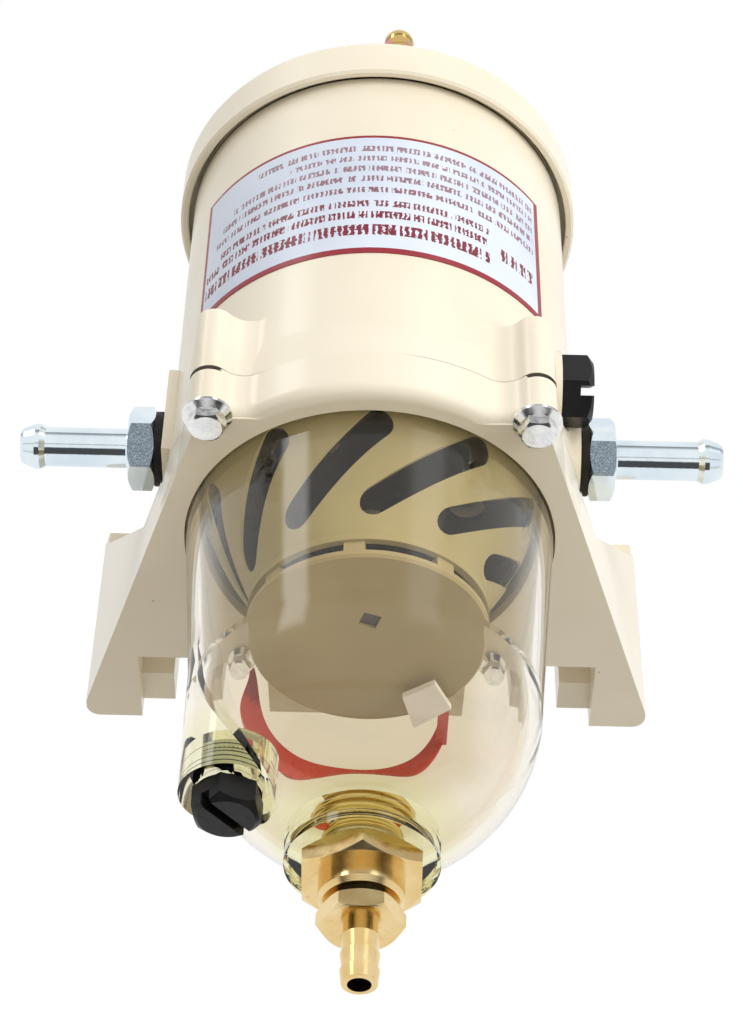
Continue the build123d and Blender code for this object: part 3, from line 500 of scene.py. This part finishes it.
rubber = moulded("black_rubber", "#131313", "#1E1E1E", (0.6, 0.8), 500, 0.1)
black = moulded("black_plastic", "#131315", "#1D1D20", (0.35, 0.5), 600, 0.08, 0.3)
blue_zinc = blue_plate()
turned_brass = brass("turned_brass")
cap_metal = plain_metal("cap_metal", "#B9BABC", "#CDCECF", (0.25, 0.4))

MATERIALS = {
    # The body's paint carries painted shade on its floor over the turbine
    "body_casting": cream_paint("cream_body", floor_painted_shade, True),
    "ring_bracket": cream_paint("cream_ring"),
    "lid": cream_paint("cream_lid"),
    "flange_bolts": bright_steel("bright_bolts"),
    "inlet_fitting": blue_zinc,
    "outlet_fitting": blue_zinc,
    "t_handle": yellow_zinc("yellow_zinc"),
    "drain_bushing": turned_brass,
    "drain_valve": turned_brass,
    "check_ball": plain_metal("steel_ball", "#B8B8B8", "#CFCFCF", (0.08, 0.14)),
    "return_tube": plain_metal("tube_metal", "#C4C5C6", "#D6D6D6", (0.25, 0.35)),
    "bail_handle": plain_metal("wire_metal", "#B4B4B6", "#C8C8CA", (0.2, 0.3)),
    "element_top_cap": cap_metal,
    "element_bottom_cap": cap_metal,
    "element_media": moulded("filter_paper", "#C9B078", "#DCC690", (0.8, 0.95), 300, 0.3),
    # The bell's inside is painted near black as shade
    "turbine_bell": moulded("olive_bell", "#ADA27A", "#B5AB83", (0.32, 0.45), gloss=0.17,
                            patch=bell_inside_painted_shade),
    "turbine_disc": moulded("olive_disc", "#AD9F79", "#B5A781", (0.4, 0.55), patch=disc_mark,
                            patch_colour="#4E423C"),
    "port_plug": black,
    # The black plug's thread is painted pale as light above its seal
    "sensor_plug": moulded("threaded_plug", "#131315", "#1D1D20", (0.35, 0.5), 600, 0.08, 0.3,
                           plug_thread_painted_light, "#A8AB94"),
    "port_washers": moulded("dark_washer", "#181511", "#221D18", (0.5, 0.7), gloss=0.3),
    "red_band": moulded("red_plastic", "#C23A2B", "#D04A35", (0.25, 0.4), 300, 0.05),
    "band_clip": moulded("white_plastic", "#FAF6F5", "#FFFCFB", (0.4, 0.5)),
    "clear_bowl": clear_plastic(),
    "label_plate": label_print(),
}

for name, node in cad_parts.items():
    node.data.materials.clear()
    node.data.materials.append(MATERIALS.get(name, rubber))


# Screw threads that show through the clear bosses

STEPS_A_TURN = 48
RIDGE_SIDES = 4
BUSHING_THREAD_DEPTH = 8.5      # how far under the bushing's top its thread starts
SENSOR_THREAD_RISE = 1.8        # how far over its seal's underside the sensor plug's thread starts


def thread_tree():
    """A helix with a pointed ridge, from its radius, rise, turns and ridge size."""
    group = bpy.data.node_groups.new("thread_ridge", "GeometryNodeTree")
    sizes = {"Radius": 0.01, "Rise": 0.01, "Turns": 6.0, "Ridge": 0.0005}
    for name, value in sizes.items():
        made = group.interface.new_socket(name=name, in_out="INPUT", socket_type="NodeSocketFloat")
        made.default_value = value
    group.interface.new_socket(name="Finish", in_out="INPUT", socket_type="NodeSocketMaterial")
    group.interface.new_socket(name="Thread", in_out="OUTPUT", socket_type="NodeSocketGeometry")
    nodes = Nodes(group)
    given = nodes.node("NodeGroupInput").socket.node.outputs
    value = {name: Value(nodes, given[name]) for name in [*sizes, "Finish"]}
    helix = nodes.node("GeometryNodeCurveSpiral", {}, {
        "Resolution": STEPS_A_TURN, "Rotations": value["Turns"], "Start Radius": value["Radius"],
        "End Radius": value["Radius"], "Height": value["Rise"]})
    ridge = nodes.node("GeometryNodeCurvePrimitiveCircle", {}, {
        "Resolution": RIDGE_SIDES, "Radius": value["Ridge"]})
    swept = nodes.node("GeometryNodeCurveToMesh", {}, {
        "Curve": helix, "Profile Curve": ridge, "Fill Caps": True})
    real = nodes.node("GeometryNodeRealizeInstances", {}, {"Geometry": swept})
    dressed = nodes.node("GeometryNodeSetMaterial", {}, {"Geometry": real, "Material": value["Finish"]})
    nodes.node("NodeGroupOutput", {}, {"Thread": dressed})
    return group


THREAD = thread_tree()


def thread(name, finish, place, radius, length, pitch, ridge):
    """One screw thread as a plain mesh that rises from its place, with its sizes in millimetres."""
    holder = bpy.data.objects.new(name + "_holder", bpy.data.meshes.new(name + "_holder"))
    bpy.context.scene.collection.objects.link(holder)
    modifier = holder.modifiers.new("thread", "NODES")
    modifier.node_group = THREAD
    wanted = {"Radius": radius * MM, "Rise": length * MM, "Turns": length / pitch, "Ridge": ridge * MM,
              "Finish": finish}
    for item in THREAD.interface.items_tree:
        if item.in_out == "INPUT":
            modifier[item.identifier] = wanted[item.name]
    shape = holder.evaluated_get(bpy.context.evaluated_depsgraph_get())
    mesh = bpy.data.meshes.new_from_object(shape)
    bpy.data.objects.remove(holder)
    mesh.transform(Matrix.Translation(place))
    piece = bpy.data.objects.new(name, mesh)
    bpy.context.scene.collection.objects.link(piece)
    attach(piece, "base")


bushing_start = Vector((0, AXIS_Y, BUSHING_TOP - BUSHING_THREAD_DEPTH * MM))
sensor_start = Vector((SENSOR_X, SENSOR_Y, SENSOR_SEAT + SENSOR_THREAD_RISE * MM))
thread("bushing_thread", turned_brass, bushing_start,
       radius=8.9, length=12.6, pitch=1.7, ridge=0.9)
thread("sensor_thread", black, sensor_start,
       radius=6.05, length=7.2, pitch=1.2, ridge=0.5)


# Camera at the photograph's place, found by matching the part's edges to it

CAMERA_PLACE = Vector((0.000165, AXIS_Y - 0.4428, RING_Z - 0.4208))
PITCH = 0.77319             # turns of the camera in radians: up, over to its side, and to the right
ROLL = 0.023124
YAW = 0.00024
FOCAL_LENGTH = 2500         # in pixels of the photograph
PHOTO_HEIGHT = 1024
SENSOR_WIDTH = 36


def camera():
    """Looks up at the filter from below and in front."""
    forward = Vector((math.sin(YAW) * math.cos(PITCH), math.cos(YAW) * math.cos(PITCH), math.sin(PITCH)))
    level = Vector((math.cos(YAW), -math.sin(YAW), 0))
    upright = level.cross(forward)
    right = level * math.cos(ROLL) + upright * math.sin(ROLL)
    up = upright * math.cos(ROLL) - level * math.sin(ROLL)
    lens = bpy.data.cameras.new("camera")
    lens.lens = FOCAL_LENGTH * SENSOR_WIDTH / PHOTO_HEIGHT
    lens.sensor_width = SENSOR_WIDTH
    lens.clip_start = 0.01
    lens.clip_end = 50
    made = bpy.data.objects.new("camera", lens)
    bpy.context.scene.collection.objects.link(made)
    turn = Matrix((right, up, -forward)).transposed().to_4x4()
    made.matrix_world = Matrix.Translation(CAMERA_PLACE) @ turn
    bpy.context.scene.camera = made


# Floor, lamps and surroundings

FLOOR_Z = -0.56
FLOOR_HALF = 6.0
DARK_NEAR = (0.0, 0.03)     # the dark patch in front of the filter, in metres from its axis
DARK_FAR = (0.53, 0.44)
DARK_SIDE = (0.75, 0.55)
LINE_NEAR = (0.84, 0.94)    # the softer dark line further out
LINE_FAR = (1.2, 1.1)

# The tent as metal and clear pieces mirror it, by the parts of a direction that is 1 long
BAND_LOW = (0.36, 0.66)     # how far up the darker band's lower edge comes in, and its upper one
BAND_HIGH = (0.76, 0.72)
BAND_REAR = (0.3, 0.05)     # how far to the rear it goes out
STRIP_LOW = (0.3, 0.45)     # the same for the bright strips
STRIP_HIGH = (0.82, 0.7)
LEFT_STRIP = -46            # degrees round from the front to the right
RIGHT_STRIP = 34

# Lamps: degrees round from the front to the right and degrees up, then distance, width and height in
# metres, and power in watts
LAMPS = {
    "front": (24, 12, 1.5, 1.1, 0.8, 11.8),
    "left_side": (-56, 42, 1.5, 0.3, 0.9, 4.6),
    "right_side": (36, 46, 1.6, 0.42, 0.5, 1.2),
    "low_right": (56, -15, 1.4, 0.9, 0.4, 6.7),
}


def floor():
    """A wide pale floor. Mirrored in metal and clear pieces it is white, with a dark patch in front."""
    corners = [(-FLOOR_HALF, -FLOOR_HALF, 0), (FLOOR_HALF, -FLOOR_HALF, 0), (FLOOR_HALF, FLOOR_HALF, 0),
               (-FLOOR_HALF, FLOOR_HALF, 0)]
    mesh = bpy.data.meshes.new("floor")
    mesh.from_pydata(corners, [], [(0, 1, 2, 3)])
    made = bpy.data.objects.new("floor", mesh)
    made.location = (0, 0, FLOOR_Z)
    bpy.context.scene.collection.objects.link(made)
    finish = Finish("floor")
    x, y, z = finish.split(finish.place)
    front = AXIS_Y - y
    patch = front.glide(*DARK_FAR) & front.glide(*DARK_NEAR) & abs(x).glide(*DARK_SIDE)
    line = front.glide(*LINE_FAR) & front.glide(*LINE_NEAR)
    direct = finish.light_path("Is Camera Ray")
    mirrored = finish.light_path("Is Glossy Ray")
    through = finish.light_path("Is Transmission Ray")
    finish.set(Base_Color=finish.mix("#C4C0B7", "#F4F3F0", direct), Roughness=0.9)
    glow = finish.mix("#FFFFFF", "#505050", (patch | line * 0.5) * (1 - through))
    glow = finish.node("ShaderNodeEmission", {}, {"Color": glow})
    shown = finish.node("ShaderNodeMixShader", {}, {0: mirrored | through, 1: finish.shader_out, 2: glow})
    finish.show(shown)
    mesh.materials.append(finish.material)


def soft_box(name, azimuth, elevation, distance, width, height, power):
    """A rectangular lamp that faces the filter. Metal and clear pieces see the tent in its place."""
    round_front = math.radians(azimuth)
    rise = math.radians(elevation)
    aim = Vector((0, AXIS_Y, 0))
    away = Vector((math.sin(round_front) * math.cos(rise), -math.cos(round_front) * math.cos(rise),
                   math.sin(rise)))
    spot = aim + distance * away
    data = bpy.data.lights.new(name, "AREA")
    data.shape = "RECTANGLE"
    data.size = width
    data.size_y = height
    data.energy = power
    lamp = bpy.data.objects.new(name, data)
    lamp.location = spot
    lamp.rotation_euler = (aim - spot).to_track_quat("-Z", "Y").to_euler()
    lamp.visible_glossy = False
    lamp.visible_transmission = False
    bpy.context.scene.collection.objects.link(lamp)


def surroundings():
    """A white tent, whose light is weaker from the front. Mirrored in metal and clear pieces it has a
    darker band high over the front, and a bright strip on its left and on its right."""
    world = bpy.data.worlds.new("studio")
    bpy.context.scene.world = world
    world.use_nodes = True
    nodes = Nodes(world.node_tree)
    nodes.tree.nodes.clear()
    x, y, z = nodes.split(nodes.node("ShaderNodeTexCoord", {}, {}, "Generated"))
    direct = nodes.light_path("Is Camera Ray")
    through = nodes.light_path("Is Transmission Ray")
    mirrored = nodes.light_path("Is Glossy Ray") * (1 - through)
    degrees = x.maths("ARCTAN2", y * -1) * (180 / math.pi)
    band = z.glide(*BAND_LOW) & z.glide(*BAND_HIGH) & y.glide(*BAND_REAR)
    band = band * abs(degrees).glide(12, 22, 0.66, 0.5)
    strip = z.glide(*STRIP_LOW) & z.glide(*STRIP_HIGH)
    left = strip & abs(degrees - LEFT_STRIP).glide(11, 5)
    right = strip & abs(degrees - RIGHT_STRIP).glide(14, 5)
    tent = 1 - band + left * 3.6 + right * 1.1
    diffuse = y.glide(-0.2, 0.5, 0.45, 1.0)
    strength = direct | through | (mirrored * tent) | ((1 - mirrored) * diffuse)
    light = nodes.node("ShaderNodeBackground", {}, {"Color": (1, 1, 1, 1), "Strength": strength})
    nodes.node("ShaderNodeOutputWorld", {}, {"Surface": light})


camera()
floor()
for name, sizes in LAMPS.items():
    soft_box(name, *sizes)
surroundings()
bpy.context.scene.view_settings.view_transform = "Standard"
